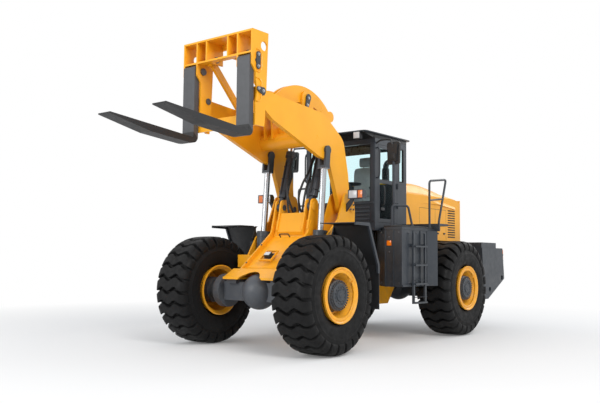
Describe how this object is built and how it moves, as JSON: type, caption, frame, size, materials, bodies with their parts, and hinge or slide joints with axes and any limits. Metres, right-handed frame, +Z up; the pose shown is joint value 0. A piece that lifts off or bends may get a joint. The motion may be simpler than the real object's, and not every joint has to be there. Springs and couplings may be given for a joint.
{
  "type": "articulated wheel forklift",
  "caption": "Articulated four-wheel forklift with a raised boom, a self-levelling open carriage and two long forks, a side-step cab, an engine hood and a rear counterweight.",
  "frame": {"origin": "on the ground under the centre of the articulation hinge, half way between the two axles", "axes": "+X forward along the forks, +Y to the operator's left, +Z up"},
  "size_m": [8.1995, 2.847, 4.32],
  "materials": {
    "orange_paint": "satin industrial paint",
    "dark_paint": "satin industrial paint",
    "tyre_rubber": "matt rubber",
    "fork_steel": "worn black paint",
    "rod_chrome": "polished",
    "pin_steel": "greased steel",
    "cab_glass": "clear tint",
    "lamp_lens": "clear over colour",
    "black_sheet": "satin",
    "seat_fabric": "woven",
    "cast_iron": "painted casting"
  },
  "bodies": {
    "rear_body": {"rear_frame": "orange_paint", "rear_axle": "dark_paint", "counterweight": "dark_paint", "battery_boxes": "dark_paint", "tail_lamps": "lamp_lens", "engine_hood": "orange_paint", "engine_block": "cast_iron", "radiator": "black_sheet", "exhaust": "black_sheet", "gearbox": "cast_iron", "platforms": "dark_paint", "side_tanks": "dark_paint", "cab_carriers": "dark_paint", "ladders": "dark_paint", "handrails": "dark_paint", "cab_shell": "dark_paint", "cab_roof": "black_sheet", "cab_glass": "cab_glass", "driver_seat": "seat_fabric", "steering_wheel": "black_sheet", "mirrors": "black_sheet", "roof_lamps": "black_sheet"},
    "front_body": {"front_frame": "orange_paint", "hinge_pins": "pin_steel", "tilt_base_pins": "pin_steel", "front_axle": "dark_paint", "front_shaft": "pin_steel", "front_fenders": "black_sheet", "head_lamps": "dark_paint", "boom_foot_pins": "pin_steel"},
    "door": {"cab_door": "dark_paint", "door_glass": "cab_glass"},
    "boom": {"boom": "orange_paint"},
    "rocker_pins": {"rocker_pins": "pin_steel"},
    "rocker": {"rocker_arms": "orange_paint"},
    "carriage_pins": {"carriage_pins": "pin_steel"},
    "carriage": {"carriage_frame": "orange_paint", "fork_shafts": "pin_steel", "fork_left": "fork_steel", "fork_right": "fork_steel"},
    "link_pins": {"link_pins": "pin_steel"},
    "links": {"tilt_links": "orange_paint"},
    "lift_barrels": {"lift_barrels": "dark_paint"},
    "lift_rods": {"lift_rods": "rod_chrome"},
    "tilt_barrels": {"tilt_barrels": "dark_paint"},
    "tilt_rods": {"tilt_rods": "rod_chrome"},
    "steer_barrel_left": {"steer_barrel_left": "dark_paint"},
    "steer_barrel_right": {"steer_barrel_right": "dark_paint"},
    "steer_rod_left": {"steer_rod_left": "rod_chrome"},
    "steer_rod_right": {"steer_rod_right": "rod_chrome"},
    "wheel_front_left": {"tyre_front_left": "tyre_rubber", "rim_front_left": "orange_paint"},
    "wheel_front_right": {"tyre_front_right": "tyre_rubber", "rim_front_right": "orange_paint"},
    "wheel_rear_left": {"tyre_rear_left": "tyre_rubber", "rim_rear_left": "orange_paint"},
    "wheel_rear_right": {"tyre_rear_right": "tyre_rubber", "rim_rear_right": "orange_paint"}
  },
  "joints": [
    {"name": "articulation", "type": "hinge", "parent": "rear_body", "child": "front_body", "pos_m": [0, 0, 0.93], "axis": [0, 0, 1], "range_deg": [-35, 35]},
    {"name": "boom_lift", "type": "hinge", "parent": "front_body", "child": "boom", "pos_m": [0.62, 0, 2.08], "axis": [0, -1, 0], "range_deg": [-70, 3]},
    {"name": "fork_level", "type": "hinge", "parent": "boom", "child": "carriage_pins", "pos_m": [2.64, 0, 3.5], "axis": [0, -1, 0], "range_deg": [-3.02, 70.02]},
    {"name": "fork_tilt", "type": "hinge", "parent": "carriage_pins", "child": "carriage", "pos_m": [2.64, 0, 3.5], "axis": [0, 1, 0], "range_deg": [-12, 15]},
    {"name": "rocker_level", "type": "hinge", "parent": "boom", "child": "rocker_pins", "pos_m": [1.33, 0, 3.68], "axis": [0, -1, 0], "range_deg": [-48.11, 2.08]},
    {"name": "rocker_tilt", "type": "hinge", "parent": "rocker_pins", "child": "rocker", "pos_m": [1.33, 0, 3.68], "axis": [0, -1, 0], "range_deg": [-8.6, 10.74]},
    {"name": "link_level", "type": "hinge", "parent": "carriage", "child": "link_pins", "pos_m": [2.665, 0, 4.065], "axis": [0, -1, 0], "range_deg": [-60.64, 2.62]},
    {"name": "link_tilt", "type": "hinge", "parent": "link_pins", "child": "links", "pos_m": [2.665, 0, 4.065], "axis": [0, -1, 0], "range_deg": [-9.37, 11.71]},
    {"name": "lift_barrel_turn", "type": "hinge", "parent": "front_body", "child": "lift_barrels", "pos_m": [1.239, 0, 1.29], "axis": [0, -1, 0], "range_deg": [-32.92, 1.43]},
    {"name": "lift_rod_slide", "type": "slide", "parent": "lift_barrels", "child": "lift_rods", "axis": [-0.0746, 0, 0.9972], "range_m": [-0.91119, 0.04001]},
    {"name": "tilt_barrel_turn", "type": "hinge", "parent": "front_body", "child": "tilt_barrels", "pos_m": [1.102, 0, 2.074], "axis": [0, -1, 0], "range_deg": [-82.83, 3.57]},
    {"name": "tilt_rod_slide", "type": "slide", "parent": "tilt_barrels", "child": "tilt_rods", "axis": [-0.2713, 0, 0.9625], "range_m": [-0.13871, 0.11117]},
    {"name": "door_hinge", "type": "hinge", "parent": "rear_body", "child": "door", "pos_m": [-0.7175, 0.714, 2.5], "axis": [0, 0, 1], "range_deg": [0, 90]},
    {"name": "steer_barrel_turn_left", "type": "hinge", "parent": "rear_body", "child": "steer_barrel_left", "pos_m": [-0.545, 0.255, 0.905], "axis": [0, 0, 1], "range_deg": [-6.88, 6.88]},
    {"name": "steer_rod_slide_left", "type": "slide", "parent": "steer_barrel_left", "child": "steer_rod_left", "axis": [1, 0.0072, 0], "range_m": [-0.15372, 0.15372]},
    {"name": "steer_barrel_turn_right", "type": "hinge", "parent": "rear_body", "child": "steer_barrel_right", "pos_m": [-0.545, -0.255, 0.905], "axis": [0, 0, 1], "range_deg": [-6.88, 6.88]},
    {"name": "steer_rod_slide_right", "type": "slide", "parent": "steer_barrel_right", "child": "steer_rod_right", "axis": [1, -0.0072, 0], "range_m": [-0.15372, 0.15372]},
    {"name": "wheel_turn_front_left", "type": "hinge", "parent": "front_body", "child": "wheel_front_left", "pos_m": [1.87, 1.12, 0.808], "axis": [0, 1, 0], "continuous": true},
    {"name": "wheel_turn_front_right", "type": "hinge", "parent": "front_body", "child": "wheel_front_right", "pos_m": [1.87, -1.12, 0.808], "axis": [0, 1, 0], "continuous": true},
    {"name": "wheel_turn_rear_left", "type": "hinge", "parent": "rear_body", "child": "wheel_rear_left", "pos_m": [-1.87, 1.12, 0.808], "axis": [0, 1, 0], "continuous": true},
    {"name": "wheel_turn_rear_right", "type": "hinge", "parent": "rear_body", "child": "wheel_rear_right", "pos_m": [-1.87, -1.12, 0.808], "axis": [0, 1, 0], "continuous": true}
  ],
  "couplings": [
    {"joint": "fork_level", "follows": "boom_lift", "ratio": -1},
    {"joint": "rocker_level", "follows": "boom_lift", "ratio": 0.687},
    {"joint": "rocker_tilt", "follows": "fork_tilt", "ratio": 0.715},
    {"joint": "link_level", "follows": "boom_lift", "ratio": 0.866},
    {"joint": "link_tilt", "follows": "fork_tilt", "ratio": 0.779},
    {"joint": "lift_barrel_turn", "follows": "boom_lift", "ratio": 0.47},
    {"joint": "lift_rod_slide", "follows": "boom_lift", "m_per_rad": 0.745},
    {"joint": "tilt_barrel_turn", "follows": "boom_lift", "ratio": 1.183},
    {"joint": "tilt_rod_slide", "follows": "fork_tilt", "m_per_rad": -0.526},
    {"joint": "steer_barrel_turn_left", "follows": "articulation", "ratio": 0.196},
    {"joint": "steer_barrel_turn_right", "follows": "articulation", "ratio": 0.196},
    {"joint": "steer_rod_slide_left", "follows": "articulation", "m_per_rad": -0.25},
    {"joint": "steer_rod_slide_right", "follows": "articulation", "m_per_rad": 0.25}
  ]
}
